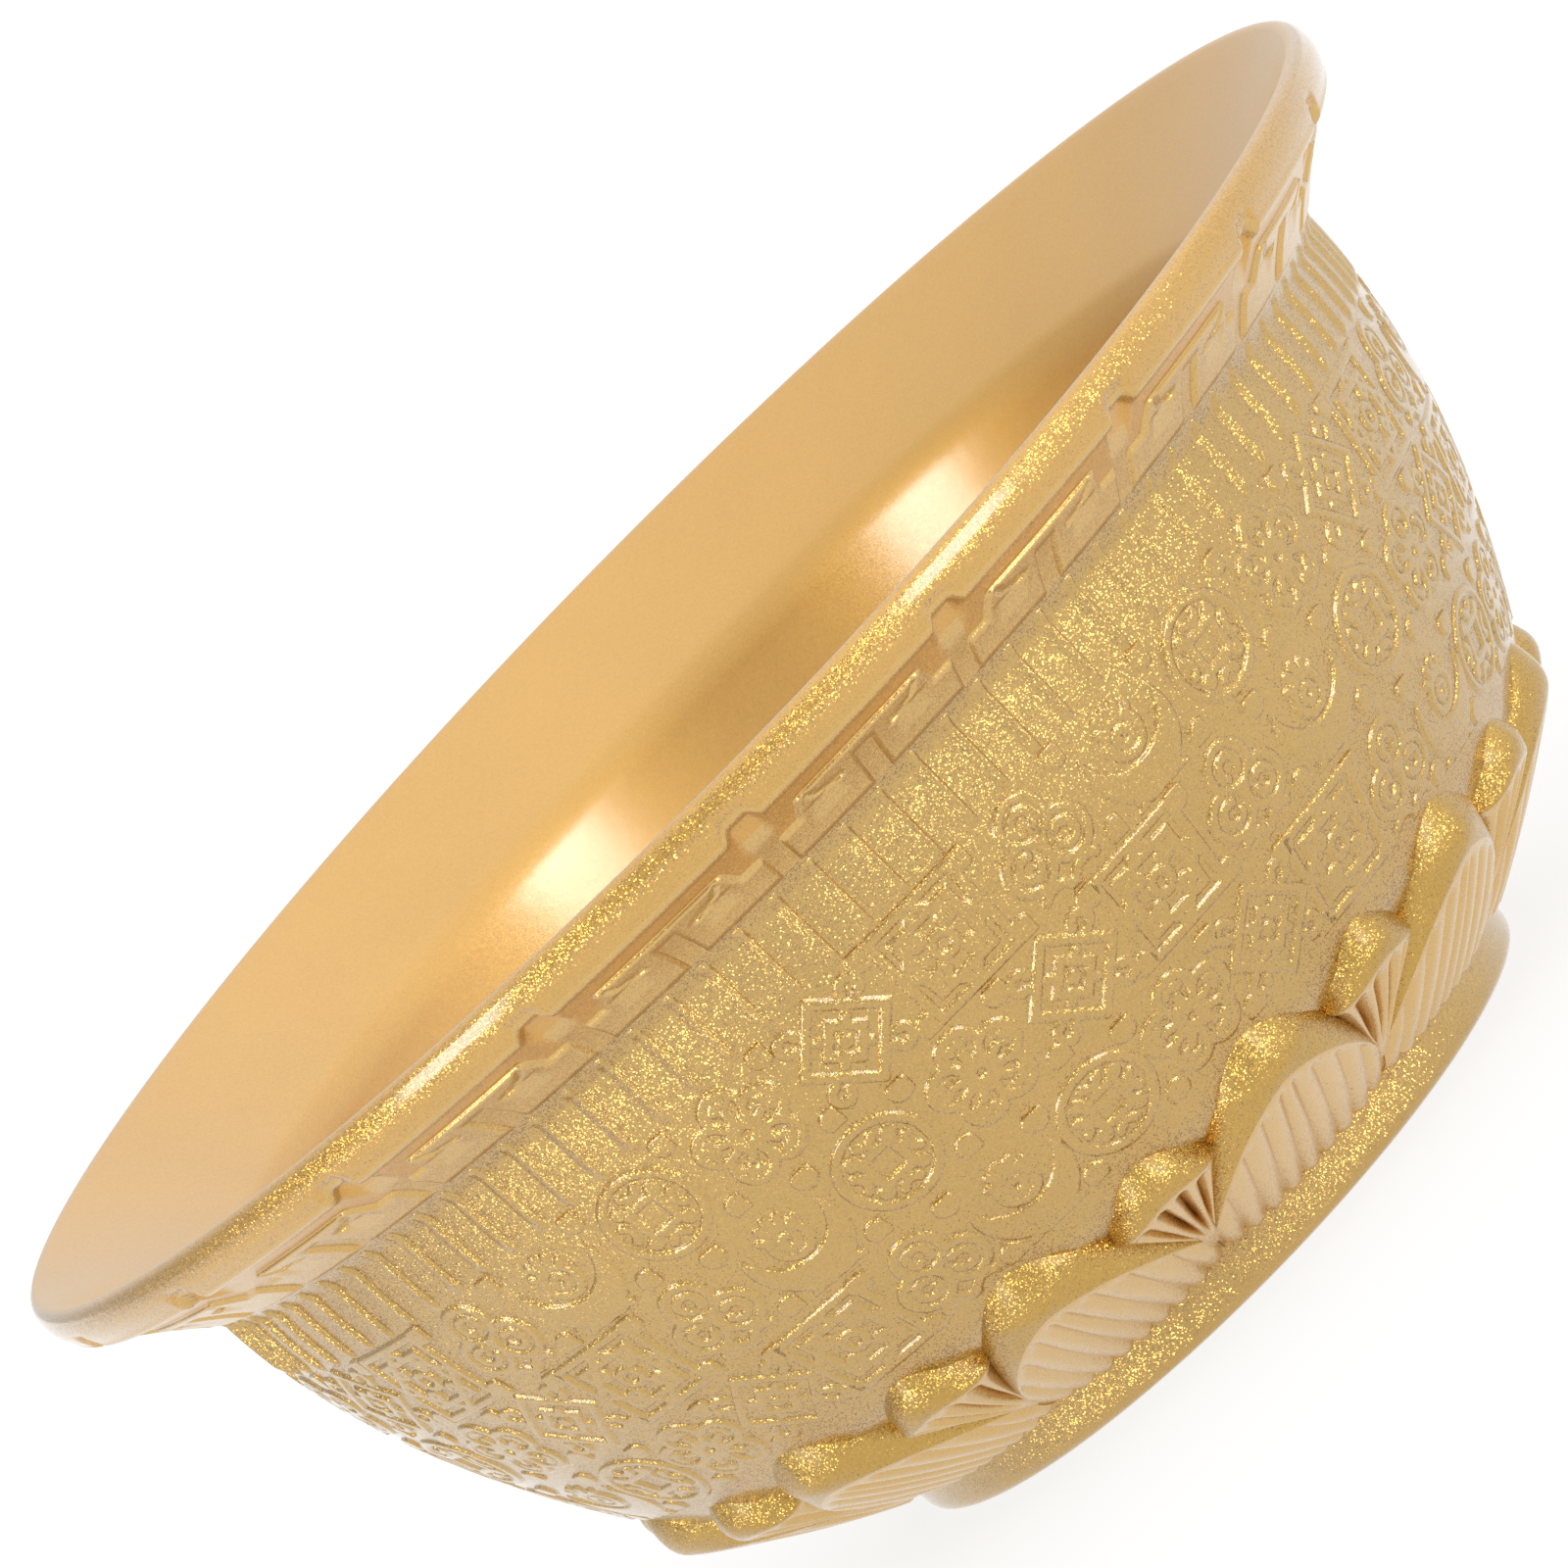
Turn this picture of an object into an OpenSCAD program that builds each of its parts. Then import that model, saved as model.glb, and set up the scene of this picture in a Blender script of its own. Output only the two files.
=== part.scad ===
// Treasure bowl: a small cast offering bowl with a lotus base, a key-fret neck and relief ornaments.
// Millimetres, +Z up. The origin is the centre of the foot, on the surface that the bowl stands on.

/* [Foot] */
// Height of the foot ring
foot_h = 3.4; // [2.6:0.1:4.4]
// Outer diameter of the foot ring
foot_d = 39.2; // [34:0.1:40]
// Width of the foot ring
foot_w = 4; // [3:0.1:6]
// Round on the foot ring's lower edges
foot_round = 0.7; // [0.3:0.1:1]

/* [Vessel] */
// Diameter of the vessel where it sits on the foot
root_d = 40; // [39:0.1:42]
// Height of the sloping underside behind the petals
slope_h = 5.9; // [5:0.1:7]
// Diameter of the vessel at the top of the sloping underside
shoulder_d = 57.9; // [54:0.1:62]
// Height of the curved wall
wall_h = 21.7; // [19:0.1:26]
// Diameter of the neck
neck_d = 72.8; // [69:0.1:75]
// How strongly the wall curves in towards its foot
wall_bend = 1.85; // [1.5:0.05:2.2]
// Height of the hollow flare above the neck
flare_h = 4.3; // [4:0.1:5]
// Diameter at the top of the flare, under the lip
flare_d = 82.4; // [80:0.1:83.2]
// How strongly the flare curves out
flare_bend = 1.35; // [1.2:0.05:1.8]
// Thickness of the wall
wall_t = 2.2; // [1.6:0.1:3]
// Thickness of the floor
floor_t = 2.2; // [1.6:0.1:3]

/* [Lip] */
// Outer diameter of the lip bead
lip_d = 85; // [84:0.1:88]
// Height of the lip bead
lip_h = 2.7; // [2.4:0.1:3.6]
// Height of the bead's widest line above its lower edge
lip_bulge_h = 1.7; // [1.2:0.1:2]
// How far the bead's lower edge is set in from its widest line
lip_drop = 0.8; // [0.5:0.1:1.2]
// Width of the flat land on top of the lip
lip_land = 0.5; // [0.3:0.1:1]

/* [Petals] */
// Number of large petals, with as many small ones between them
petal_count = 12; // [9:1:14]
// Direction of the first large petal, from the front towards the right
petal_turn = 12.4; // [0:0.1:30]
// Height of a large petal's point above the shoulder
large_rise = 1.9; // [1.2:0.1:3]
// Height of a small petal's point above the shoulder
small_rise = 1.2; // [0.6:0.1:2]
// Thickness of a petal over the sloping underside
petal_t = 1.35; // [1:0.05:1.8]
// How far a petal's point stands out from the wall
petal_lip = 0.28; // [0.2:0.02:0.5]
// How far a petal's ridge lies below the shoulder
ridge_drop = 1.35; // [1:0.05:1.8]
// How far the ridge falls towards a petal's sides, as a share of the petal's underside
ridge_sag = 0.65; // [0.3:0.05:0.75]
// How far the petals stop short of the foot, along the slope
root_gap = 0.4; // [0.3:0.1:1.6]
// Width of a small petal at its ridge
small_ridge_w = 6.6; // [5:0.1:8]
// Width of a small petal at its root
small_root_w = 0.8; // [0.6:0.1:2]
// Space between neighbouring petals
petal_gap = 0.15; // [0.1:0.05:0.3]
// Number of flutes under a large petal
large_flutes = 8; // [6:1:10]
// Number of flutes under a small petal
small_flutes = 3; // [2:1:4]
// Depth of the flutes
flute_depth = 0.35; // [0.2:0.05:0.5]

/* [Key fret] */
// Number of repeats of the fret
fret_count = 20; // [14:1:22]
// Direction of the first tall channel, from the front towards the right
fret_turn = -3.5; // [-20:0.1:20]
// Height of the fret's lower edge above the neck
fret_rise = 1.1; // [0.6:0.1:1.3]
// Relief of the fret and of the ribs below it
relief = 0.3; // [0.2:0.05:0.5]
// Height of the panels along the fret's lower edge
panel_h = 1.5; // [1.2:0.1:1.6]
// Height of the bar over the panels
bar_h = 0.85; // [0.6:0.05:0.9]
// Groove between the panels and the bar
groove_w = 0.25; // [0.2:0.05:0.4]
// Width of the tall channels between two keys
tall_w = 1.3; // [1:0.1:2]
// Width of the short channels inside a key
short_w = 1.3; // [1:0.1:2]
// Pocket between a tall channel and the bar
pocket_w = 1.4; // [1:0.1:1.8]
// Width of the stems that join the bar to the panels
stem_w = 0.8; // [0.6:0.1:1]

/* [Ribs] */
// Number of ribs
rib_count = 105; // [80:1:120]
// Direction of the first rib, from the front towards the right
rib_turn = 0.9; // [0:0.1:3]
// Length of the ribs
rib_h = 4.8; // [3:0.1:5.2]
// Width of the ribs
rib_w = 0.55; // [0.4:0.05:0.7]
// Gap between the ribs and the fret
rib_gap = 0.2; // [0.2:0.1:0.6]

/* [Ornaments] */
// Number of ornaments in each row
ornament_count = 36; // [24:6:36]
// Height of the lowest row's middle above the shoulder
row_start = 4.1; // [3.6:0.1:4.6]
// Distance from one row to the next
row_pitch = 5.6; // [5.2:0.1:5.8]
// Width and height of an ornament
ornament_d = 4.8; // [4:0.1:5]
// Width of an ornament's lines
line_w = 0.5; // [0.4:0.05:0.6]
// Relief of the ornaments
ornament_t = 0.25; // [0.15:0.05:0.4]

/* [Fit] */
// Joint film between the vessel and what is seated on it
seat_gap = 0.05; // [0.03:0.01:0.1]

/* [Hidden] */
$fn = 96;
wall_steps = 14;
flare_steps = 7;
lip_steps = 8;
rib_steps = 3;
panel_steps = 3;
bevel_rows = 3;
slope_rows = 3;
row_count = 3;
blossom_lobes = 5;

foot_r = foot_d / 2;
root_r = root_d / 2;
shoulder_r = shoulder_d / 2;
neck_r = neck_d / 2;
flare_r = flare_d / 2;
lip_r = lip_d / 2;

shoulder_z = foot_h + slope_h;
neck_z = shoulder_z + wall_h;
flare_z = neck_z + flare_h;
bowl_h = flare_z + lip_h;
floor_z = foot_h + floor_t;
crest_r = bead_r(bowl_h);

slope_len = norm([shoulder_r - root_r, slope_h]);
slope_in = (shoulder_r - root_r) / slope_len;
slope_up = slope_h / slope_len;

petal_pitch = 360 / petal_count;
fret_pitch = 360 / fret_count;
fret_z = neck_z + fret_rise;
ornament_pitch = 360 / ornament_count;
ornament_side = ornament_d * sqrt(0.5);

KINDS = ["coin", "blossom", "lozenge", "knot", "cloud", "ingot"];
RELIEF_NODES = [for (kind = KINDS) str(kind, "_emblems")];

gold = [0.79, 0.62, 0.36];
pale_gold = [0.85, 0.71, 0.50];
deep_gold = [0.74, 0.55, 0.27];

function petal_name(size, i) = str(size, "_petal_", i < 10 ? "0" : "", i);

// Angle that an arc of a given length covers at a given radius
function arc_angle(len, r) = len / r * 180 / PI;

// A point in a meridian plane turned to its direction round the bowl, from the front to the right
function around(point, turn) = [point[0] * sin(turn), -point[0] * cos(turn), point[1]];

// Outer radius of the vessel at a height, below the lip
function slope_r(z) = root_r + (shoulder_r - root_r) * (z - foot_h) / slope_h;
function curve_r(z) = neck_r - (neck_r - shoulder_r) * pow(max(0, neck_z - z) / wall_h, wall_bend);
function hollow_r(z) = neck_r + (flare_r - neck_r) * pow((z - neck_z) / flare_h, flare_bend);
function wall_r(z) = z <= shoulder_z ? slope_r(z) : z <= neck_z ? curve_r(z) : hollow_r(z);

// Outer radius of the lip bead at a height
function bead_r(z) = lip_r - lip_drop * pow((z - flare_z - lip_bulge_h) / lip_bulge_h, 2);

// Inner radius: the outer wall moved in, with its foot raised to the floor
function inner_r(z) = wall_r(foot_h + (z - floor_z) * (neck_z - foot_h) / (neck_z - floor_z)) - wall_t;
function mouth_r(z) =
    neck_r - wall_t
    + (crest_r - lip_land - neck_r + wall_t) * pow((z - neck_z) / (bowl_h - neck_z), flare_bend);

// Inner radius above the neck: the mouth's curve, never nearer to the flare than the wall's thickness
function inner_flare_r(z) = z > flare_z ? mouth_r(z) : min(mouth_r(z), hollow_r(z) - wall_t);

// Height on the inner wall that stands opposite a height on the outer wall
function inner_z(z) = floor_z + (z - foot_h) * (neck_z - floor_z) / (neck_z - foot_h);

function steps(from, to, count) = [for (i = [0 : count]) from + (to - from) * i / count];
function reversed(list) = [for (i = [len(list) - 1 : -1 : 0]) list[i]];

curve_heights = steps(shoulder_z, neck_z, wall_steps);
flare_heights = steps(neck_z, flare_z, flare_steps);
lip_heights = steps(flare_z, bowl_h, lip_steps);
mouth_heights = steps(neck_z, bowl_h, flare_steps + lip_steps);

outer_outline = concat(
    [for (z = [foot_h, each curve_heights]) [wall_r(z), z]],
    [for (i = [1 : flare_steps]) [wall_r(flare_heights[i]), flare_heights[i]]],
    [for (z = lip_heights) [bead_r(z), z]]
);
inner_outline = concat(
    [for (z = [foot_h, each curve_heights]) [inner_r(inner_z(z)), inner_z(z)]],
    [for (i = [1 : len(mouth_heights) - 1]) [inner_flare_r(mouth_heights[i]), mouth_heights[i]]]
);

// Turned vessel with its wall, floor, flared neck and lip bead
module bowl_shell() {
    color(gold)
        rotate_extrude()
            polygon(concat([[0, foot_h]], outer_outline, reversed(inner_outline), [[0, floor_z]]));
}

// Ring with a flat sole, round lower edges and a plain face
module foot_ring() {
    color(deep_gold)
        rotate_extrude()
            translate([foot_r - foot_w, 0])
                union() {
                    translate([0, foot_round])
                        square([foot_w, foot_h - foot_round]);
                    translate([foot_round, 0])
                        square([foot_w - 2 * foot_round, foot_h]);
                    for (x = [foot_round, foot_w - foot_round])
                        translate([x, foot_round])
                            circle(foot_round);
                }
}

// A strip of relief on the vessel between two directions, along a list of heights
module strip(turn_from, turn_to, heights) {
    rotate([0, 0, turn_from - 90])
        rotate_extrude(angle = turn_to - turn_from)
            polygon(concat(
                [for (z = heights) [wall_r(z) + seat_gap, z]],
                [for (z = reversed(heights)) [wall_r(z) + seat_gap + relief, z]]
            ));
}

bar_z = fret_z + panel_h + groove_w;
fret_r = wall_r(bar_z);
tall_half = arc_angle(tall_w, fret_r) / 2;
short_half = arc_angle(short_w, fret_r) / 2;
stem_turn = arc_angle(stem_w, fret_r);
bar_from = tall_half + arc_angle(pocket_w, fret_r);
panel_to = fret_pitch / 2 - short_half;
panel_heights = steps(fret_z, fret_z + panel_h, panel_steps);
bar_heights = steps(bar_z, bar_z + bar_h, panel_steps);
stem_heights = [fret_z + panel_h + seat_gap, bar_z - seat_gap];

// Half of a key: a panel and the two stems that carry the bar
module half_key() {
    strip(tall_half, panel_to, panel_heights);
    strip(bar_from, bar_from + stem_turn, stem_heights);
    strip(panel_to - stem_turn, panel_to, stem_heights);
}

// Key fret: keys of two panels under a bar, with a short channel in each and tall ones between them
module fret_band() {
    color(gold)
        for (i = [0 : fret_count - 1])
            rotate([0, 0, fret_turn + i * fret_pitch]) {
                half_key();
                rotate([0, 0, fret_pitch])
                    mirror([1, 0, 0])
                        half_key();
                strip(bar_from, fret_pitch - bar_from, bar_heights);
            }
}

rib_pitch = 360 / rib_count;
rib_top = fret_z - rib_gap;
rib_half = arc_angle(rib_w, neck_r) / 2;
rib_heights = concat(steps(rib_top - rib_h, neck_z, rib_steps), [rib_top]);

// Short upright ribs below the fret
module comb_ribs() {
    color(pale_gold)
        for (i = [0 : rib_count - 1])
            rotate([0, 0, rib_turn + i * rib_pitch])
                strip(-rib_half, rib_half, rib_heights);
}

// Lean of the wall at a height
function lean(z) = atan2(wall_r(z + ornament_d / 2) - wall_r(z - ornament_d / 2), ornament_d);

// Set a flat ornament against the wall, at a height and in a direction
module on_wall(z, turn) {
    rotate([0, 0, turn])
        translate([0, -wall_r(z) - seat_gap, z])
            rotate([90 + lean(z), 0, 0])
                linear_extrude(ornament_t)
                    children();
}

// Outline of a shape, one line wide
module line_ring(d) {
    difference() {
        circle(d = d);
        circle(d = d - 2 * line_w);
    }
}

module line_square(side, turn) {
    rotate(turn)
        difference() {
            square(side, center = true);
            square(side - 2 * line_w, center = true);
        }
}

// Round coin with a square hole
module coin() {
    hole = 0.4 * ornament_d;
    line_ring(ornament_d);
    line_square(hole, 0);
}

// Outline of round lobes that run into each other, one line wide
module line_lobes(places, d) {
    difference() {
        for (place = places)
            translate(place)
                circle(d = d);
        for (place = places)
            translate(place)
                circle(d = d - 2 * line_w);
    }
}

// Blossom of round petals
module blossom() {
    lobe = 0.4 * ornament_d;
    reach = (ornament_d - lobe) / 2;
    turns = [for (i = [0 : blossom_lobes - 1]) 90 + i * 360 / blossom_lobes];
    line_lobes([for (turn = turns) reach * [cos(turn), sin(turn)]], lobe);
}

// Two lozenges, one inside the other
module lozenge() {
    heart = 0.3 * ornament_d;
    line_square(ornament_side, 45);
    line_square(heart, 45);
}

// Knot of two crossed squares
module knot() {
    line_square(ornament_side, 0);
    line_square(ornament_side, 45);
}

// Cloud head of three lobes
module cloud() {
    lobe = ornament_d / 2;
    side_out = 0.44 * lobe;
    side_down = 0.25 * lobe;
    top_up = 0.5 * lobe;
    line_lobes([[-side_out, -side_down], [side_out, -side_down], [0, top_up]], lobe);
}

// Ingot: a boat with turned-up ends and a round heart
module ingot() {
    hollow_d = 1.05 * ornament_d;
    hollow_up = 0.3 * ornament_d;
    heart_d = 0.45 * ornament_d;
    heart_up = 0.1 * ornament_d;
    difference() {
        circle(d = ornament_d);
        translate([0, hollow_up])
            circle(d = hollow_d);
    }
    translate([0, heart_up])
        line_ring(heart_d);
}

// Every ornament of one kind, in all the rows
module emblems(kind) {
    for (row = [0 : row_count - 1])
        for (i = [0 : ornament_count - 1])
            if ((i + 2 * row) % len(KINDS) == kind)
                on_wall(shoulder_z + row_start + row * row_pitch, (i + row / 2) * ornament_pitch) {
                    if (kind == 0) coin();
                    else if (kind == 1) blossom();
                    else if (kind == 2) lozenge();
                    else if (kind == 3) knot();
                    else if (kind == 4) cloud();
                    else ingot();
                }
}

// Half of a small petal's angle at its ridge and at its root, and what they leave for a large petal
ridge_z = shoulder_z - ridge_drop;
ridge_r = slope_r(ridge_z) + petal_t / slope_up;
ridge_seat_z = ridge_z + petal_t * slope_in;
root_stop_r = max(root_r, foot_r) + root_gap * slope_in;
root_z = foot_h + slope_h * (root_stop_r - root_r) / (shoulder_r - root_r);
small_ridge_half = arc_angle(small_ridge_w, ridge_r) / 2;
small_root_half = arc_angle(small_root_w, slope_r(root_z)) / 2;
large_ridge_half = petal_pitch / 2 - small_ridge_half - arc_angle(petal_gap, ridge_r);
large_root_half = petal_pitch / 2 - small_root_half - arc_angle(petal_gap, slope_r(root_z));

// A point off the sloping underside, square to it
function off_slope(z, out) = [slope_r(z) + out * slope_up, z - out * slope_in];

// Share of the way from the ridge to the root at a point, measured along the sloping underside
function share_down(point) =
    let (seat_z = point[1] + (point[0] - slope_r(point[1])) * slope_up * slope_in)
    min(1, max(0, (ridge_seat_z - seat_z) / (ridge_seat_z - root_z)));

// Section of a petal at a place across it (-1 to 1): pairs of an inner point and an outer point
function petal_section(across, rise, flute) =
    let (
        fall = across * across,
        top_z = shoulder_z + rise * (1 - fall) - ridge_drop / 2 * fall,
        edge_z = ridge_seat_z + (root_z - ridge_seat_z) * ridge_sag * fall,
        edge = off_slope(edge_z, petal_t),
        mid_z = (top_z + edge[1]) / 2,
        mid_r = max(edge[0], wall_r(mid_z) + petal_lip),
        seat_z = top_z > shoulder_z ? shoulder_z : (top_z + edge_z) / 2
    )
    concat(
        [
            [[wall_r(top_z) + seat_gap, top_z], [wall_r(top_z) + seat_gap + petal_lip, top_z]],
            [[wall_r(seat_z) + seat_gap, seat_z], [mid_r, mid_z]],
            [off_slope(edge_z, seat_gap), edge]
        ],
        [
            for (z = [for (k = [1 : slope_rows]) edge_z + (root_z - edge_z) * k / slope_rows])
                [off_slope(z, seat_gap), off_slope(z, seat_gap + petal_t - flute)]
        ]
    );

// A petal as one closed solid: sections side by side, joined across the petal
module petal(rise, ridge_half, root_half, flutes) {
    columns = 2 * flutes;
    rows = bevel_rows + slope_rows;
    function across(i) = 2 * i / columns - 1;
    function half(point) = ridge_half + (root_half - ridge_half) * share_down(point);
    sections = [for (i = [0 : columns]) petal_section(across(i), rise, i % 2 == 0 ? flute_depth : 0)];
    points = [
        for (i = [0 : columns])
            for (side = [0, 1])
                for (pair = sections[i])
                    around(pair[side], half(pair[side]) * across(i))
    ];
    function at(i, side, k) = (2 * i + side) * rows + k;
    function quad(a, b, c, d) = [[a, b, c], [a, c, d]];
    faces = [
        for (i = [0 : columns - 1])
            for (k = [0 : rows - 2])
                for (face = concat(
                    quad(at(i, 1, k), at(i + 1, 1, k), at(i + 1, 1, k + 1), at(i, 1, k + 1)),
                    quad(at(i, 0, k), at(i, 0, k + 1), at(i + 1, 0, k + 1), at(i + 1, 0, k))
                ))
                    face,
        for (i = [0 : columns - 1])
            for (face = concat(
                quad(at(i, 0, 0), at(i + 1, 0, 0), at(i + 1, 1, 0), at(i, 1, 0)),
                quad(at(i, 0, rows - 1), at(i, 1, rows - 1), at(i + 1, 1, rows - 1), at(i + 1, 0, rows - 1))
            ))
                face,
        for (k = [0 : rows - 2])
            for (face = concat(
                quad(at(0, 0, k), at(0, 1, k), at(0, 1, k + 1), at(0, 0, k + 1)),
                quad(at(columns, 0, k), at(columns, 0, k + 1), at(columns, 1, k + 1), at(columns, 1, k))
            ))
                face
    ];
    polyhedron(points, faces);
}

module large_petal(i) {
    color(pale_gold)
        rotate([0, 0, petal_turn + (i - 1) * petal_pitch])
            petal(large_rise, large_ridge_half, large_root_half, large_flutes);
}

module small_petal(i) {
    color(deep_gold)
        rotate([0, 0, petal_turn + (i - 0.5) * petal_pitch])
            petal(small_rise, small_ridge_half, small_root_half, small_flutes);
}

bowl_shell();
foot_ring();
fret_band();
comb_ribs();
for (kind = [0 : len(KINDS) - 1])
    color(gold) emblems(kind);
for (i = [1 : petal_count]) {
    large_petal(i);
    small_petal(i);
}
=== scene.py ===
import math
from collections import namedtuple

import bpy
import numpy as np
from mathutils import Matrix, Vector


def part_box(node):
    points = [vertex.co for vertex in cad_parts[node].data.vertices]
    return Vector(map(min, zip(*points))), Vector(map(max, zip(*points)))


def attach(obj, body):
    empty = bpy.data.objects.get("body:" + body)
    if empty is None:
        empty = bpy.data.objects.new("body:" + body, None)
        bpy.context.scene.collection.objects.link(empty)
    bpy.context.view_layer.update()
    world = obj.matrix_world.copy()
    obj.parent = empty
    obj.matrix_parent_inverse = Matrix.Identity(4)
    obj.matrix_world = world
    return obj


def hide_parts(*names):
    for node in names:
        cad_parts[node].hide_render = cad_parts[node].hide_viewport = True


# Looks of the treasure bowl: cast relief under a gold metallic-flake paint, in a white light tent.
# Sizes are millimetres and angles are degrees. The front of the bowl faces -Y, and turns run from the
# front to the right.

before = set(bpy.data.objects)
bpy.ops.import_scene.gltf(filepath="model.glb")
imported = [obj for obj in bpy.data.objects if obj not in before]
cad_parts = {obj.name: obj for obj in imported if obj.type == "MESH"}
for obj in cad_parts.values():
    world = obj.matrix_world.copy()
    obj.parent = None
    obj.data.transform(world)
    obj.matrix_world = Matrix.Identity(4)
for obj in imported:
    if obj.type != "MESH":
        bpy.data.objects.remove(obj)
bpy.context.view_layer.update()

MM = 0.001

# Sizes of the vessel and the foot
FOOT_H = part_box("foot_ring")[1].z / MM
FOOT_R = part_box("foot_ring")[1].x / MM
FOOT_W = 4.0
FOOT_EDGE = 0.75
FOOT_STEP = 0.15
FOOT_COLUMNS = 432
BOWL_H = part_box("bowl_shell")[1].z / MM
ROOT_R = 20.0
SHOULDER_R = 28.95
SHOULDER_Z = 9.3
NECK_R = 36.4
NECK_Z = 31.0
WALL_BEND = 1.85
FLARE_R = 41.2
FLARE_Z = 35.3
FLARE_BEND = 1.35
LEDGE_GAP = 0.05
LEDGE_ROUND = 0.12
LEDGE_RISE = 0.01
LIP_R = 42.5
LIP_BULGE_Z = 37.0
LIP_DROP = 0.8
LIP_START = 0.08
LIP_TIP_R = 0.56
LIP_TIP_FROM, LIP_TIP_TO = 15, 125
BORDER_H = 0.1
BORDER_AT = 0.3
BORDER_WIDTH = 0.16
BORDER_TOP = 0.4
WALL_T = 2.2
FLOOR_Z = 5.6
INNER_NECK_Z = 32.0
INNER_BEND = 1.25
MOUTH_BEND = 1.08
BASIN_STEP = 1.0
BASIN_PASSES = 9
SHELL_COLUMNS = 1440

# Points on each stretch of the vessel's half section
SLOPE_POINTS = 5
WALL_POINTS = 22
FLARE_POINTS = 40
BEAD_POINTS = 18
TIP_POINTS = 8
MOUTH_POINTS = 13
INSIDE_POINTS = 40

# Sizes of the key fret, from the middle of a tall channel and up from the fret's lower edge
FRET_COUNT = 20
FRET_TURN = -3.5
FRET_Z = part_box("fret_band")[0].z / MM
FRET_RELIEF = 0.38
FRET_SOFT = 0.28
FRET_MARGIN = 0.3
FRET_OVER = 0.06
FRET_COLUMNS, FRET_ROWS = 121, 54
TALL_HALF = 0.63
SHORT_HALF = 0.65
SHORT_TOP = 1.95
POCKET_TO = 1.95
POCKET_LOW = 1.25
POCKET_LEAN = 0.5
POCKET_RAMP = 0.45
BAR_TOP = 2.45
BAR_SOFT = 0.3
HOOK_GROOVE = [(2.78, 2.25), (3.2, 1.84), (4.5, 1.66)]
HOOK_GROOVE_HALF = 0.08
HOOK_GROOVE_SHARE = 0.95
WEDGE_FROM, WEDGE_TO = 2.15, 4.65
WEDGE_LOW, WEDGE_TOP = 0.75, 1.62
WEDGE_DEPTH = 0.22
WEDGE_SOFT = 0.7
WEDGE_STEP = 0.1
NOTCH_H = 0.6
NOTCH_HALF = 0.5
NOTCH_SOFT = 0.6
NOTCH_BELOW = 1.3
NOTCH_ABOVE = 1.5

# Where the fret's paints end on the shell: the lighter fret paint, partly painted light, and the darker
# orange paint that is painted shade in the pockets and under the lip
PAINT_MARGIN = 0.1
POCKET_MARGIN = 0.5
ARCH_DEPTH = 0.8

# Sizes of the ribs
RIB_COUNT = 105
RIB_TURN = 1.0
RIB_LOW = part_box("comb_ribs")[0].z / MM
RIB_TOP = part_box("comb_ribs")[1].z / MM
RIB_GENTLE = 0.7
RIB_STEEP = 0.2
RIB_RELIEF = 0.24
RIB_LOW_FADE = 0.9
RIB_TOP_FADE = 0.4
RIB_MARGIN = 0.1
RIB_COLUMNS, RIB_ROWS = 19, 30

# Sizes of the ornaments
KINDS = ["coin", "blossom", "lozenge", "knot", "cloud", "ingot"]
ORNAMENT_COUNT = 36
ORNAMENT_SCALE = 1.1
ROW_COUNT = 3
ROW_START = 4.1
ROW_PITCH = 5.6
LINE_HALF = 0.14
LINE_SOFT = 0.22
LINE_RELIEF = 0.17
PEARL_R = 0.12
PEARL_RING_R = 0.42
PEARL_AT = 2.35
PATCH_HALF_U = 3.6
PATCH_HALF_V = 2.95
PATCH_STEP = 0.09
PATCH_OVER = 0.1

# How far a relief's face and its underside lie below the wall
SINK = 0.03
SKIRT = 0.2

# Sizes of the petals, along the wall from the shoulder down, off the wall, and half angles across
PETAL_COUNT = 12
PETAL_TURN = 12.4
PETAL_T = 1.5
ROOT_Z = 3.6
SLOPE_LEN = math.hypot(SHOULDER_R - ROOT_R, SHOULDER_Z - FOOT_H)
ROOT_AT = SLOPE_LEN * (SHOULDER_Z - ROOT_Z) / (SHOULDER_Z - FOOT_H)
RIDGE_AT = 0.4
LARGE_PETAL = {
    "top": -1.75, "corner": 8.0, "half": 14.97, "root": ROOT_AT, "root_half": 14.97,
    "gather": 1.35, "ridge_bend": 2.3, "edge_t": 1.1, "thick": PETAL_T, "root_t": PETAL_T,
    "drop": 0.4, "taper": 0.0, "flutes": 9, "groove": 0.45, "depth": 0.3, "fade": 1.0, "samples": 12,
}
SMALL_PETAL = {
    "top": -1.1, "corner": 1.9, "half": 6.7, "root": 9.1, "root_half": 0.4,
    "gather": 1.0, "ridge_bend": 2.0, "edge_t": 0.2, "thick": PETAL_T - 0.1, "root_t": 1.1,
    "drop": 0.0, "taper": 1.0, "flutes": 5, "groove": 0.5, "depth": 0.8, "fade": 0.4, "samples": 14,
}
EDGE_ROWS = 3
BEVEL_ROWS = 18
UNDER_ROWS = 46
TIP_ROWS = 7
ROW_PASSES = 4
EDGE_BEND = 1.75
EDGE_T = 0.12
EDGE_SWELL = 2.5
EDGE_TUCK = 0.15
EDGE_SINK = 0.1
TAPER_BEND = 4
DROP_BEND = 6
ROOT_RISE = 0.5
CREASE = 0.16
BELLY = 0.16
CREASE_ANGLE = 50
FLUTE_START, FLUTE_RISE = 0.02, 0.1
FLUTE_FALL = 0.4
FLUTE_REACH = 0.99
PATH_OVER = 4
PATH_POINTS = 800
PATH_PASSES = 600

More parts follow.
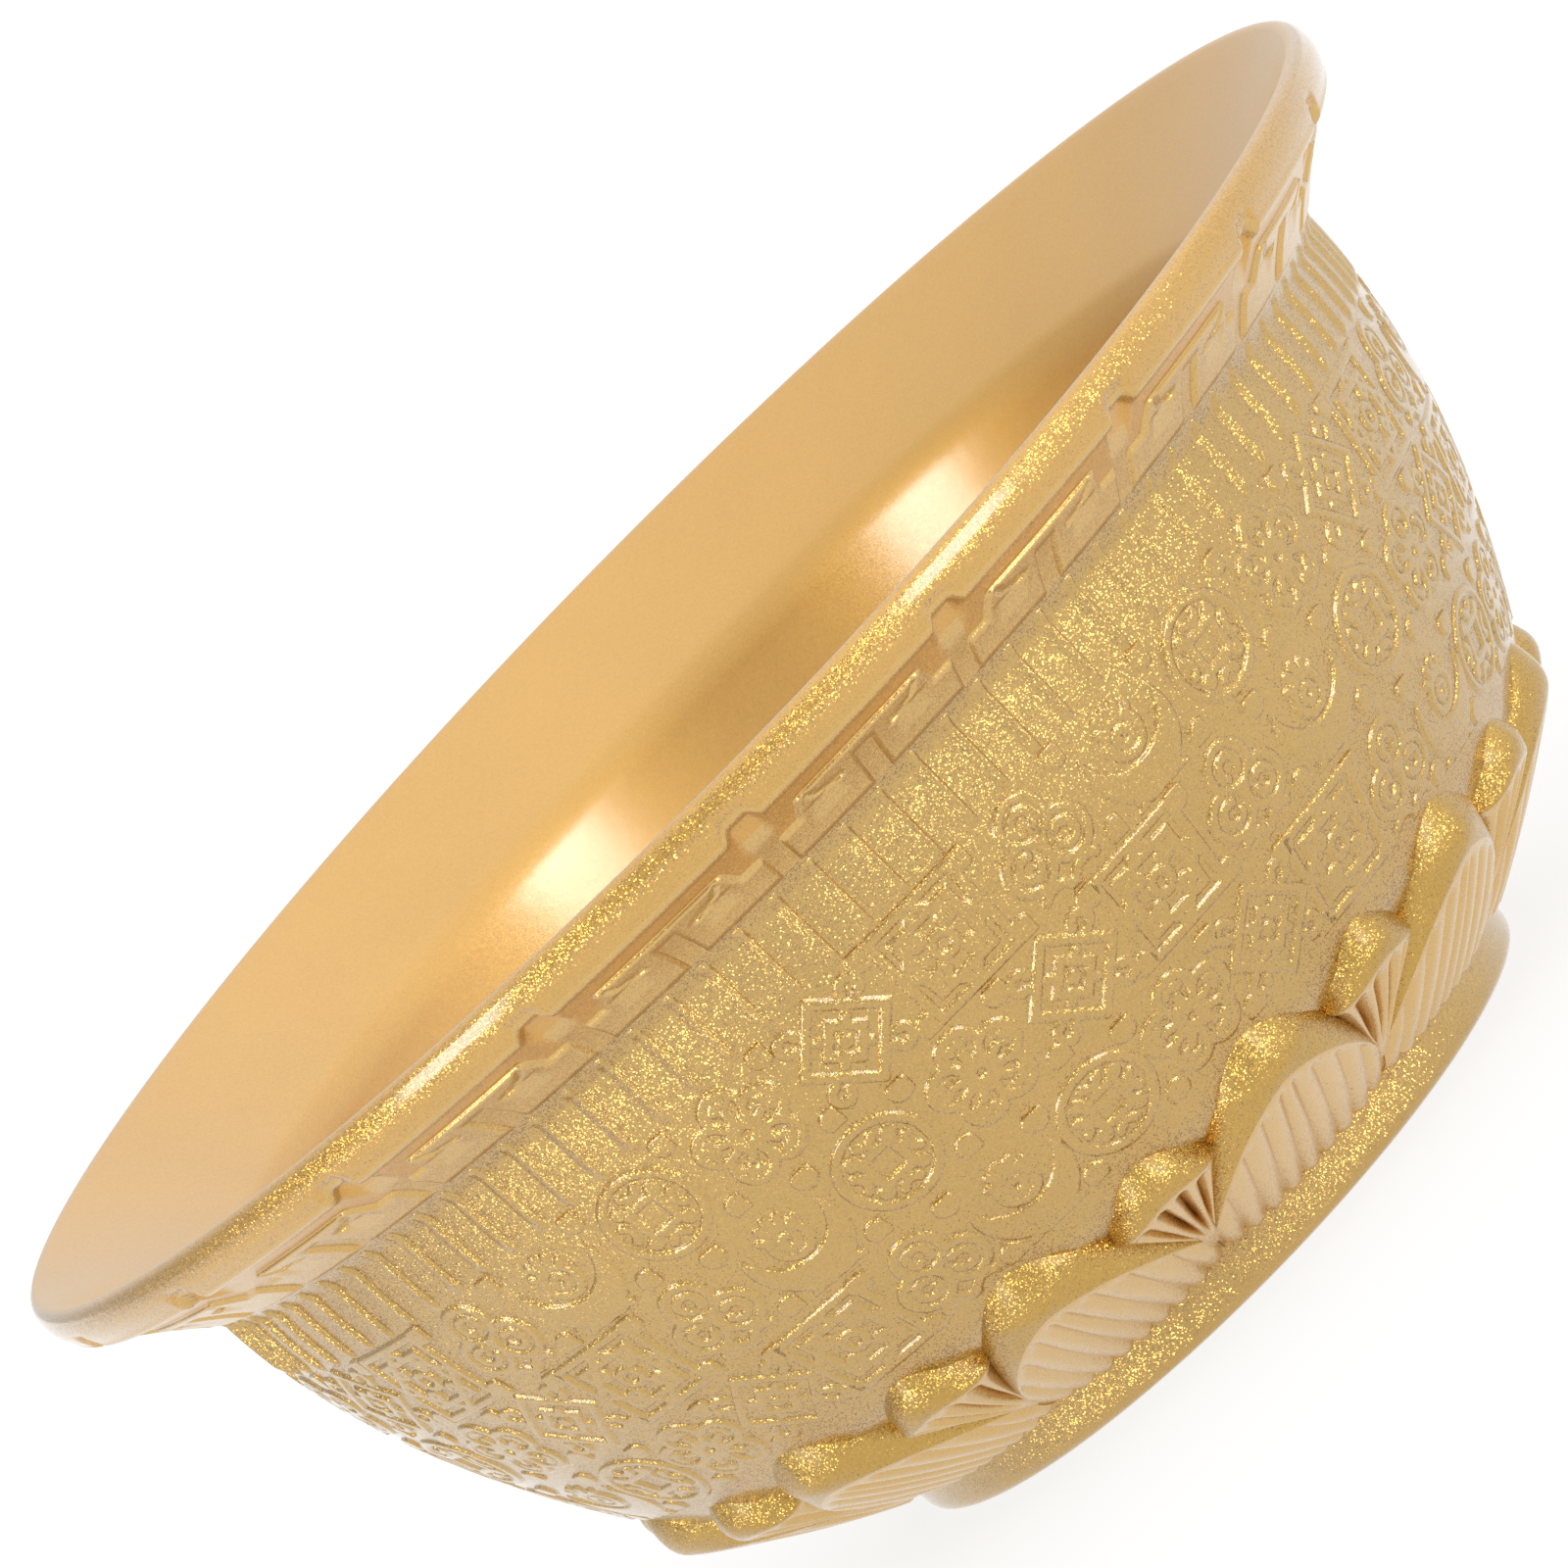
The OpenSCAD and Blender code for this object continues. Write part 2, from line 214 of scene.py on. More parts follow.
# Looks of the gold paint: two flake colours, the flakes' tilt, and the sheen of flakes and coat
Look = namedtuple("Look", "deep bright tilt roughness coat_roughness coat_ior", defaults=[1.75])
FLAKE_LOOK = Look((0.47, 0.28, 0.05), (0.58, 0.355, 0.083), 0.64, 0.2, 0.15)
LOOKS = {
    "bowl_gold_flake": FLAKE_LOOK,
    "relief_gold_flake": FLAKE_LOOK,
    "foot_gold_flake": FLAKE_LOOK,
    # Lip paint: the flake paint in a lighter, warmer gold, painted light on the lip's bead
    "bowl_gold_lip_painted_light": Look((0.545, 0.3, 0.046), (0.67, 0.38, 0.077), 0.64, 0.2, 0.15),
    # Inside paint: rougher flakes under a stronger coat, in a warmer, more orange gold: painted reflection
    # of the gold walls in each other
    "bowl_gold_inside_painted_reflection": Look((0.58, 0.3, 0.012), (0.67, 0.36, 0.025), 0.08, 0.5, 0.22, 2.05),
    # Recess paint: smoother flakes in a darker orange gold, painted shade in the pockets beside the tall
    # channels and in the band under the lip
    "bowl_gold_painted_shade": Look((0.58, 0.3, 0.026), (0.69, 0.36, 0.045), 0.26, 0.35, 0.3),
    # Fret paint: smoother flakes, and golds lighter than the flake paint's, painted light against the
    # shade on the fret's downward-facing faces
    "relief_gold_fret_painted_light": Look((0.56, 0.335, 0.065), (0.68, 0.415, 0.105), 0.26, 0.3, 0.3),
    "petal_gold_flake": Look((0.47, 0.28, 0.05), (0.58, 0.355, 0.083), 0.72, 0.24, 0.34, 1.45),
    # Flute paint: smoother flakes in a paler gold, a painted reflection of the white floor on the flutes
    "petal_gold_flute_painted_reflection": Look((0.57, 0.35, 0.085), (0.7, 0.44, 0.14), 0.3, 0.24, 0.3),
}
# The wall takes the plain flake paint; the other shell paints are recoloured copies of it that paint
# light: a painted reflection inside, painted light on the fret zone and the lip, painted shade in the
# recesses
SHELL_PAINTS = [
    "bowl_gold_flake", "bowl_gold_inside_painted_reflection", "relief_gold_fret_painted_light", "bowl_gold_painted_shade", "bowl_gold_lip_painted_light",
]
ON_WALL, ON_INSIDE_PAINTED_REFLECTION, ON_FRET_PAINTED_LIGHT, ON_PAINTED_SHADE, ON_LIP_PAINTED_LIGHT = range(len(SHELL_PAINTS))
PETAL_PAINTS = ["petal_gold_flake", "petal_gold_flute_painted_reflection"]
ON_BEVEL, ON_FLUTES_PAINTED_REFLECTION = range(len(PETAL_PAINTS))
FLAKE_SIZE = 0.055
TONE_SIZE = 9.0
TONE_DETAIL = 3.0
TONE_FROM, TONE_TO = 0.3, 1.4
GLOSS_SPREAD = 0.08
PEEL_SIZE = 0.7
PEEL_DETAIL = 2.0
PEEL_STRENGTH = 0.12
PEEL_DEPTH = 0.05

# Floor, light tent, lamps and camera
FLOOR_SIZE = 8000.0
FLOOR_ALBEDO = 0.2
FLOOR_ROUGHNESS = 0.9
FLOOR_LIFT = 0.82
WHITE = (1, 1, 1, 1)
TENT_SIDE = 0.72
TENT_TOP = 1.25
TENT_LEAN = 0.3
TENT_OPENING = 0.25
OPENING_FROM, OPENING_TO = -1.0, -0.6
LAMPS = [("right_softbox", 36, 2.5), ("left_softbox", -53, 2.4)]
LAMP_RISE = 12
LAMP_FAR = 900
LAMP_SIZE = (280, 460)
LAMP_AIM_Z = 20
CAMERA_FAR = 574.05
CAMERA_RISE = 8.345
CAMERA_ROLL = -45.74
CAMERA_LENS = 278.84
CAMERA_SENSOR = 36.0
CAMERA_NEAREST, CAMERA_FARTHEST = 10, 20000
CAMERA_TARGET = (0.1, 0.0, 29.5)


def smooth(x):
    """Soft step from 0 at x = 0 to 1 at x = 1."""
    t = np.clip(x, 0.0, 1.0)
    return t * t * (3 - 2 * t)


def around(r, z, turn):
    """Points at a radius and a height, turned from the front to the right."""
    angle = np.radians(turn)
    return np.stack(np.broadcast_arrays(r * np.sin(angle), -r * np.cos(angle), z), axis=-1)


def resampled(path, step):
    """Points along a path of corner points, a step apart."""
    path = np.asarray(path, float)
    lengths = np.concatenate([[0], np.cumsum(np.linalg.norm(np.diff(path, axis=0), axis=1))])
    at = np.linspace(0, lengths[-1], max(2, int(round(lengths[-1] / step)) + 1))
    return np.stack([np.interp(at, lengths, path[:, k]) for k in range(path.shape[1])], axis=-1)


def softened(path, passes):
    """A path with its corners rounded by local averaging, its ends kept."""
    path = np.array(path, float)
    for _ in range(passes):
        path[1:-1] = (path[:-2] + 2 * path[1:-1] + path[2:]) / 4
    return path


# Meshes and pieces

def build_mesh(name, points, quads, triangles=()):
    """A smooth-shaded mesh from points in millimetres."""
    mesh = bpy.data.meshes.new(name)
    quads = np.asarray(quads, np.int32).reshape(-1, 4)
    triangles = np.asarray(triangles, np.int32).reshape(-1, 3)
    corners = np.concatenate([quads.ravel(), triangles.ravel()])
    quad_starts = np.arange(len(quads), dtype=np.int32) * 4
    triangle_starts = quads.size + np.arange(len(triangles), dtype=np.int32) * 3
    starts = np.concatenate([quad_starts, triangle_starts]).astype(np.int32)
    mesh.vertices.add(len(points))
    mesh.vertices.foreach_set("co", (np.asarray(points) * MM).astype(np.float32).ravel())
    mesh.loops.add(len(corners))
    mesh.loops.foreach_set("vertex_index", corners)
    mesh.polygons.add(len(starts))
    mesh.polygons.foreach_set("loop_start", starts)
    mesh.polygons.foreach_set("use_smooth", np.ones(len(starts), bool))
    mesh.update(calc_edges=True)
    mesh.validate()
    return mesh


def add_piece(name, mesh, slot, *materials):
    """A piece that stands for the node of the same name."""
    piece = bpy.data.objects.new(name + "_cast", mesh)
    bpy.context.scene.collection.objects.link(piece)
    for material in materials:
        mesh.materials.append(material)
    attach(piece, "root")
    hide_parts(name)


def grid_quads(rows, columns, wrap_rows=False, wrap_columns=False):
    """Faces of a grid of points, numbered row by row."""
    i = np.arange(rows if wrap_rows else rows - 1)[:, None]
    j = np.arange(columns if wrap_columns else columns - 1)[None, :]
    up = (i + 1) % rows
    right = (j + 1) % columns
    corners = [i * columns + j, i * columns + right, up * columns + right, up * columns + j]
    return np.stack(np.broadcast_arrays(*corners), axis=-1).reshape(-1, 4)


def relief_shell(top, base, height):
    """Closed relief over a grid: the faces that rise, their undersides and the walls round them."""
    rows, columns = height.shape
    quads = grid_quads(rows, columns)
    rising = height.ravel() > 0
    keep = quads[rising[quads].any(axis=1)]
    count = rows * columns
    edges = np.concatenate([keep[:, [k, (k + 1) % 4]] for k in range(4)])
    known = set(map(tuple, edges.tolist()))
    rim = np.array([e for e in edges.tolist() if (e[1], e[0]) not in known])
    sides = np.stack([rim[:, 1], rim[:, 0], rim[:, 0] + count, rim[:, 1] + count], axis=-1)
    faces = np.concatenate([keep, keep[:, ::-1] + count, sides])
    used, compact = np.unique(faces, return_inverse=True)
    points = np.concatenate([top.reshape(-1, 3), base.reshape(-1, 3)])[used]
    return points, compact.reshape(-1, 4)


def repeated(points, quads, turns):
    """Copies of one relief, turned round the bowl."""
    spins = np.radians(turns)
    copies = []
    for spin in spins:
        x = points[:, 0] * math.cos(spin) - points[:, 1] * math.sin(spin)
        y = points[:, 0] * math.sin(spin) + points[:, 1] * math.cos(spin)
        copies.append(np.stack([x, y, points[:, 2]], axis=-1))
    shifts = np.arange(len(spins))[:, None, None] * len(points)
    return np.concatenate(copies), (quads[None] + shifts).reshape(-1, 4)


# Vessel and foot

def slope_r(z):
    """Outer radius of the vessel below the shoulder."""
    return ROOT_R + (SHOULDER_R - ROOT_R) * (z - FOOT_H) / (SHOULDER_Z - FOOT_H)


def wall_r(z):
    """Outer radius of the vessel at a height, below the lip."""
    z = np.asarray(z, float)
    below = np.clip((NECK_Z - z) / (NECK_Z - SHOULDER_Z), 0, None)
    above = np.clip((z - NECK_Z) / (FLARE_Z - NECK_Z), 0, None)
    curve = NECK_R - (NECK_R - SHOULDER_R) * below ** WALL_BEND
    flare = NECK_R + (FLARE_R - NECK_R) * above ** FLARE_BEND
    return np.where(z <= SHOULDER_Z, slope_r(z), np.where(z <= NECK_Z, curve, flare))


def bead_r(z):
    """Outer radius of the lip bead, with the raised line along its lower edge."""
    rise = (z - LIP_BULGE_Z) / (LIP_BULGE_Z - FLARE_Z)
    border = BORDER_H * np.exp(-(((z - FLARE_Z - BORDER_AT) / BORDER_WIDTH) ** 2))
    return LIP_R - LIP_DROP * rise ** 2 + border


def inner_r(z):
    """Inner radius of the vessel, below the neck."""
    outer_z = FOOT_H + (z - FLOOR_Z) * (NECK_Z - FOOT_H) / (INNER_NECK_Z - FLOOR_Z)
    below = max(0, NECK_Z - outer_z) / (NECK_Z - SHOULDER_Z)
    curve = NECK_R - (NECK_R - SHOULDER_R) * below ** INNER_BEND
    return min(curve, float(wall_r(outer_z))) - WALL_T


def channel_reach(turn):
    """Distance round the bowl from the middle of the nearest tall channel."""
    pitch = 360 / FRET_COUNT
    off = (np.asarray(turn) - FRET_TURN + pitch / 2) % pitch - pitch / 2
    return np.abs(np.radians(off)) * FLARE_R


def notch_rise(turn):
    """How far the lip's lower edge arches up over the head of a tall channel."""
    return NOTCH_H * (1 - smooth((channel_reach(turn) - NOTCH_HALF) / NOTCH_SOFT))


def notch_share(z):
    """How much of the notch's rise a height takes."""
    below = smooth((z - FLARE_Z + NOTCH_BELOW) / NOTCH_BELOW)
    above = 1 - smooth((z - FLARE_Z - BORDER_AT) / NOTCH_ABOVE)
    return np.where(z <= FLARE_Z, below, above)


def lip_tip():
    """Round top of the lip, from its outside over to the mouth."""
    z = BOWL_H - LIP_TIP_R
    r = bead_r(z) - LIP_TIP_R
    angles = np.radians(np.linspace(LIP_TIP_FROM, LIP_TIP_TO, TIP_POINTS))
    return [(r + LIP_TIP_R * math.cos(a), z + LIP_TIP_R * math.sin(a)) for a in angles]


def shell_profile():
    """Half section of the vessel: out under the floor, up the wall, over the lip and down inside.
    The row where the outside ends comes with it."""
    underside = [(0, FOOT_H), (FOOT_R - FOOT_W, FOOT_H), (FOOT_R, FOOT_H), (ROOT_R, FOOT_H)]
    slope = [(slope_r(z), z) for z in np.linspace(FOOT_H, SHOULDER_Z, SLOPE_POINTS)[1:-1]]
    wall = [(float(wall_r(z)), z) for z in np.linspace(SHOULDER_Z, NECK_Z, WALL_POINTS)]
    flare_z = np.linspace(NECK_Z, FLARE_Z - LEDGE_GAP, FLARE_POINTS)[1:]
    flare = [(float(wall_r(z)), z) for z in flare_z]
    ledge = [(FLARE_R + LEDGE_ROUND, FLARE_Z), (bead_r(FLARE_Z) - LEDGE_ROUND, FLARE_Z + LEDGE_RISE)]
    bead_z = np.linspace(FLARE_Z + LIP_START, BOWL_H - LIP_TIP_R, BEAD_POINTS)
    bead = [(bead_r(z), z) for z in bead_z]
    tip = lip_tip()
    mouth_r, mouth_z = tip[-1]
    neck_r = NECK_R - WALL_T
    mouth = [
        (neck_r + (mouth_r - neck_r) * s ** MOUTH_BEND, INNER_NECK_Z + (mouth_z - INNER_NECK_Z) * s)
        for s in np.linspace(1, 0, MOUTH_POINTS)[1:]
    ]
    inside_z = np.linspace(INNER_NECK_Z, FLOOR_Z, INSIDE_POINTS)[1:]
    inside = [(float(inner_r(z)), z) for z in inside_z]
    basin = softened(resampled(inside + [(0, FLOOR_Z)], BASIN_STEP), BASIN_PASSES)
    outside = underside + slope + wall + flare + ledge + bead
    return outside + tip + mouth + [tuple(p) for p in basin[1:]], len(outside) + len(tip) // 2


def shell_paints(low_z, outer_rows):
    """Which paint each face of the shell's grid takes, by the height of its lower row."""
    reach = channel_reach((np.arange(SHELL_COLUMNS) + 0.5) * 360 / SHELL_COLUMNS)
    outer = (np.arange(len(low_z)) < outer_rows)[:, None]
    low_z = low_z[:, None]
    beside = reach > TALL_HALF
    in_pocket = beside & (reach < POCKET_TO + POCKET_MARGIN)
    # Painted shade: faces above the fret's bar, in the pockets and in the band under the lip take the
    # darker orange recess paint
    painted_shade_faces = beside & (low_z > FRET_Z + BAR_TOP - PAINT_MARGIN)
    painted_shade_faces |= in_pocket & (low_z > FRET_Z + POCKET_LOW - PAINT_MARGIN)
    painted_shade_faces |= low_z > FLARE_Z - ARCH_DEPTH
    # Painted light: the shell's fret zone takes the lighter fret paint
    paints = np.where(low_z > FRET_Z - PAINT_MARGIN, ON_FRET_PAINTED_LIGHT, ON_WALL)
    paints = np.where(painted_shade_faces & (low_z < FLARE_Z), ON_PAINTED_SHADE, paints)
    # Painted light: the lip takes the lighter, warmer lip paint
    paints = np.where(low_z >= FLARE_Z + BORDER_TOP, ON_LIP_PAINTED_LIGHT, paints)
    # Painted reflection: the inside takes the warmer, more orange inside paint
    return np.where(outer, paints, ON_INSIDE_PAINTED_REFLECTION)


def make_shell(paints):
    profile, rim_row = shell_profile()
    r = np.array([p[0] for p in profile])[:, None]
    z = np.array([p[1] for p in profile])[:, None]
    turn = np.arange(SHELL_COLUMNS) * 360 / SHELL_COLUMNS
    rows = len(profile)
    outside = (np.arange(rows) < rim_row)[:, None] & (z > NECK_Z)
    lifted = np.where(outside, z + notch_rise(turn) * notch_share(z), z)
    points = around(r, lifted, turn)[1:-1].reshape(-1, 3)
    quads = grid_quads(rows - 2, SHELL_COLUMNS, wrap_columns=True)
    below, above = len(points), len(points) + 1
    points = np.concatenate([points, [[0, 0, FOOT_H], [0, 0, FLOOR_Z]]])
    j = np.arange(SHELL_COLUMNS)
    right = (j + 1) % SHELL_COLUMNS
    last = (rows - 3) * SHELL_COLUMNS
    underside = np.stack([np.full_like(j, below), right, j], axis=-1)
    basin = np.stack([np.full_like(j, above), last + j, last + right], axis=-1)
    mesh = build_mesh("bowl_shell", points, quads, np.concatenate([underside, basin]))
    add_piece("bowl_shell", mesh, "bowl_gold", *[paints[name] for name in SHELL_PAINTS])
    index = [
        shell_paints(z[1:-2, 0], rim_row - 1).ravel(),
        np.full(len(underside), ON_WALL),
        np.full(len(basin), ON_INSIDE_PAINTED_REFLECTION),
    ]
    mesh.polygons.foreach_set("material_index", np.concatenate(index).astype(np.int32))


def make_foot(paint):
    inner = FOOT_R - FOOT_W
    corners = [(inner, FOOT_H), (inner, 0), (FOOT_R, 0), (FOOT_R, FOOT_H)]
    side = softened(resampled(corners, FOOT_STEP), int((FOOT_EDGE / FOOT_STEP) ** 2))
    side[:, 1] = np.maximum(side[:, 1], 0)
    side[:, 1] -= side[:, 1].min()
    turn = np.arange(FOOT_COLUMNS) * 360 / FOOT_COLUMNS
    points = around(side[:, :1], side[:, 1:], turn).reshape(-1, 3)
    quads = grid_quads(len(side), FOOT_COLUMNS, wrap_rows=True, wrap_columns=True)
    add_piece("foot_ring", build_mesh("foot_ring", points, quads), "foot_gold", paint)


# Distances to flat lines and shapes, from points at (u, v)

def ring(u, v, r, at=(0, 0)):
    return np.abs(np.hypot(u - at[0], v - at[1]) - r)


def disc(u, v, r, at=(0, 0)):
    """Distance to a disc's edge, negative inside."""
    return np.hypot(u - at[0], v - at[1]) - r


def arc(u, v, r, at, middle, half):
    """Part of a ring, half degrees to either side of its middle direction."""
    angle = np.degrees(np.arctan2(v - at[1], u - at[0]))
    off = (angle - middle + 180) % 360 - 180
    ends = []
    for end in (middle - half, middle + half):
        a = math.radians(end)
        ends.append(disc(u, v, 0, (at[0] + r * math.cos(a), at[1] + r * math.sin(a))))
    return np.where(np.abs(off) <= half, ring(u, v, r, at), np.minimum(*ends))


def line(u, v, start, end):
    du, dv = end[0] - start[0], end[1] - start[1]
    share = np.clip(((u - start[0]) * du + (v - start[1]) * dv) / (du * du + dv * dv), 0, 1)
    return np.hypot(u - start[0] - share * du, v - start[1] - share * dv)


def box(u, v, u_from, u_to, v_from, v_to):
    """Distance to a rectangle's edge, negative inside."""
    du = np.abs(u - (u_from + u_to) / 2) - (u_to - u_from) / 2
    dv = np.abs(v - (v_from + v_to) / 2) - (v_to - v_from) / 2
    outside = np.hypot(np.maximum(du, 0), np.maximum(dv, 0))
    return outside + np.minimum(np.maximum(du, dv), 0)


def square(u, v, half):
    return np.abs(np.maximum(np.abs(u), np.abs(v)) - half)


def lozenge(u, v, reach):
    return np.abs(np.abs(u) + np.abs(v) - reach) * math.sqrt(0.5)


def on_circle(r, count, start=90):
    """Points spread round a circle, the first one in the start direction."""
    angles = np.radians(start + np.arange(count) * 360 / count)
    return [(r * math.cos(a), r * math.sin(a)) for a in angles]


def direction(at):
    return math.degrees(math.atan2(at[1], at[0]))


# Fret and ribs

def fret_height(turn, z):
    """Relief of the fret, on a grid that runs from one tall channel to the next."""
    ref_r = float(wall_r((FRET_Z + FLARE_Z) / 2))
    pitch = math.radians(360 / FRET_COUNT) * ref_r
    x = np.radians(turn) * ref_r
    x = np.minimum(x, pitch - x)
    y = z - FRET_Z
    panel = box(x, y, TALL_HALF, pitch / 2 - SHORT_HALF, 0, BAR_TOP)
    upright = x - POCKET_LEAN * (y - POCKET_LOW)
    pocket = box(upright, y, -pitch, POCKET_TO, POCKET_LOW, 2 * BAR_TOP)
    bar = box(x, y, pitch / 2 - 2 * SHORT_HALF, pitch, SHORT_TOP, BAR_TOP)
    groove = np.minimum(*[line(x, y, a, b) for a, b in zip(HOOK_GROOVE, HOOK_GROOVE[1:])])
    raised = smooth(0.5 - panel / FRET_SOFT) * (1 - smooth(-pocket / POCKET_RAMP))
    raised = np.maximum(raised, smooth(0.5 - bar / BAR_SOFT))
    cut = HOOK_GROOVE_SHARE * (1 - smooth(0.5 + (groove - HOOK_GROOVE_HALF) / FRET_SOFT))
    ramp = np.clip((y - WEDGE_LOW) / (WEDGE_TOP - WEDGE_LOW), 0, 1)
    ramp = ramp * smooth((WEDGE_TOP + WEDGE_STEP - y) / WEDGE_STEP)
    ends = smooth((x - WEDGE_FROM) / WEDGE_SOFT) * smooth((WEDGE_TO - x) / WEDGE_SOFT)
    return np.maximum(FRET_RELIEF * raised * (1 - cut) - WEDGE_DEPTH * ramp * ends, 0)


def make_fret(paint):
    pitch = 360 / FRET_COUNT
    turn, z = np.meshgrid(
        np.linspace(0, pitch, FRET_COLUMNS),
        np.linspace(FRET_Z - FRET_MARGIN, FLARE_Z + FRET_OVER, FRET_ROWS),
    )
    height = fret_height(turn, z)
    lifted = z + notch_rise(turn + FRET_TURN) * notch_share(z)
    top = around(wall_r(z) + height - SINK, lifted, turn)
    base = around(wall_r(z) - SKIRT, lifted, turn)
    points, quads = relief_shell(top, base, height)
    points, quads = repeated(points, quads, FRET_TURN + np.arange(FRET_COUNT) * pitch)
    add_piece("fret_band", build_mesh("fret_band", points, quads), "relief_gold", paint)


def make_ribs(paint):
    """Ribs with a gentle flank towards the left and a steep one towards the right."""
    u, z = np.meshgrid(
        np.linspace(-RIB_GENTLE - RIB_MARGIN, RIB_STEEP + RIB_MARGIN, RIB_COLUMNS),
        np.linspace(RIB_LOW - RIB_MARGIN, RIB_TOP, RIB_ROWS),
    )
    flank = np.where(u < 0, 1 + u / RIB_GENTLE, 1 - u / RIB_STEEP)
    ends = smooth((z - RIB_LOW) / RIB_LOW_FADE) * smooth((RIB_TOP - z) / RIB_TOP_FADE)
    height = RIB_RELIEF * smooth(flank) * ends
    turn = np.degrees(u / wall_r(z))
    top = around(wall_r(z) + height - SINK, z, turn)
    base = around(wall_r(z) - SKIRT, z, turn)
    points, quads = relief_shell(top, base, height)
    turns = RIB_TURN + np.arange(RIB_COUNT) * 360 / RIB_COUNT
    points, quads = repeated(points, quads, turns)
    add_piece("comb_ribs", build_mesh("comb_ribs", points, quads), "relief_gold", paint)


# Ornaments, each drawn about its middle at the size it has before ORNAMENT_SCALE

def coin_lines(u, v):
    """Coin with a square hole, pearls and leaves round it."""
    pearls = [disc(u, v, 0.16, at) for at in on_circle(1.45, 4, 45)]
    leaves = [arc(u, v, 0.5, at, direction(at) + 180, 60) for at in on_circle(1.75, 4, 0)]
    return [ring(u, v, 2.15), square(u, v, 0.8), *pearls, *leaves]


def blossom_lines(u, v):
    """Five round petals with a heart, stamens and folds."""
    lobes = np.minimum.reduce([disc(u, v, 0.86, at) for at in on_circle(1.42, 5)])
    stamens = [line(u, v, a, b) for a, b in zip(on_circle(0.6, 5), on_circle(1.25, 5))]
    folds = [arc(u, v, 0.4, at, direction(at), 55) for at in on_circle(1.42, 5)]
    return [np.abs(lobes), ring(u, v, 0.42), *stamens, *folds]


def lozenge_lines(u, v):
    """Lozenge in a lozenge, with a curl and a leaf towards each corner."""
    corners = [(sx, sy) for sx in (-1, 1) for sy in (-1, 1)]
    curls = [arc(u, v, 0.42, (1.75 * sx, 1.6 * sy), direction((sx, sy)), 130) for sx, sy in corners]
    leaves = [line(u, v, (0.78 * sx, 0.78 * sy), (0.45 * sx, 0.45 * sy)) for sx, sy in corners]
    return [lozenge(u, v, 2.3), lozenge(u, v, 1.0), disc(u, v, 0.12), *curls, *leaves]


def knot_lines(u, v):
    """Two crossed squares round a ring, in a square frame."""
    eyes = [ring(u, v, 0.24, at) for at in on_circle(1.22, 4, 45)]
    return [square(u, v, 2.3), square(u, v, 1.5), lozenge(u, v, 2.15), ring(u, v, 0.5), *eyes]


def cloud_lines(u, v):
    """Cloud head of three curled lobes over two trailing wisps."""
    places = [(-1.06, -0.5), (1.06, -0.5), (0, 1.15)]
    lobes = np.minimum.reduce([disc(u, v, 1.05, at) for at in places])
    curls = [arc(u, v, 0.5, at, middle, 140) for at, middle in zip(places, (200, -20, 90))]
    wisps = [arc(u, v, 0.9, (-0.9, -2.75), 80, 50), arc(u, v, 0.9, (0.9, -2.75), 100, 50)]
    return [np.abs(lobes), *curls, *wisps]


def ingot_lines(u, v):
    """Boat-shaped ingot with a round heart and rays, over waves."""
    boat = np.maximum(disc(u, v, 2.3), -disc(u, v, 2.45, (0, 1.35)))
    spread = [(math.cos(a), math.sin(a)) for a in np.radians([30, 60, 90, 120, 150])]
    rays = [line(u, v, (0.75 * c, 0.5 + 0.95 * s), (1.05 * c, 0.5 + 1.35 * s)) for c, s in spread]
    waves = [arc(u, v, 0.5, (x, -2.75), 90, 70) for x in (-0.95, 0, 0.95)]
    return [boat, ring(u, v, 0.85, (0, 0.35)), ring(u, v, 0.35, (0, 0.35)), *rays, *waves]


LINES = {
    "coin": coin_lines,
    "blossom": blossom_lines,
    "lozenge": lozenge_lines,
    "knot": knot_lines,
    "cloud": cloud_lines,
    "ingot": ingot_lines,
}


def ornament_height(kind, u, v, pitch):
    """Soft-edged relief of one ornament and of the pearls between it and the next one."""
    corners = [(pitch / 2, PEARL_AT), (pitch / 2, -PEARL_AT)]
    pearls = [disc(u, v, PEARL_R, at) for at in corners]
    pearls += [ring(u, v, PEARL_RING_R, at) for at in corners]
    lines = LINES[kind](u / ORNAMENT_SCALE, v / ORNAMENT_SCALE)
    distance = np.minimum(np.minimum.reduce(lines) * ORNAMENT_SCALE, np.minimum.reduce(pearls))
    return LINE_RELIEF * smooth(1 - (distance - LINE_HALF) / LINE_SOFT)


def ornament_patch(kind, z_middle):
    """One ornament on the wall at the front, its middle at a height."""
    r_middle = float(wall_r(z_middle))
    lean = math.atan2(float(wall_r(z_middle + 1) - wall_r(z_middle - 1)), 2)
    pitch = math.radians(360 / ORNAMENT_COUNT) * r_middle
    u, v = np.meshgrid(
        np.arange(-PATCH_HALF_U, PATCH_HALF_U + PATCH_OVER, PATCH_STEP),
        np.arange(-PATCH_HALF_V, PATCH_HALF_V, PATCH_STEP),
    )
    z = z_middle + v * math.cos(lean)
    height = ornament_height(kind, u, v, pitch)
    edge = np.minimum(PATCH_HALF_U - np.abs(u), PATCH_HALF_V - np.abs(v))
    height = height * (edge > PATCH_STEP)
    turn = np.degrees(u / r_middle)
    top = around(wall_r(z) + height - SINK, z, turn)
    base = around(wall_r(z) - SKIRT, z, turn)
    return relief_shell(top, base, height)


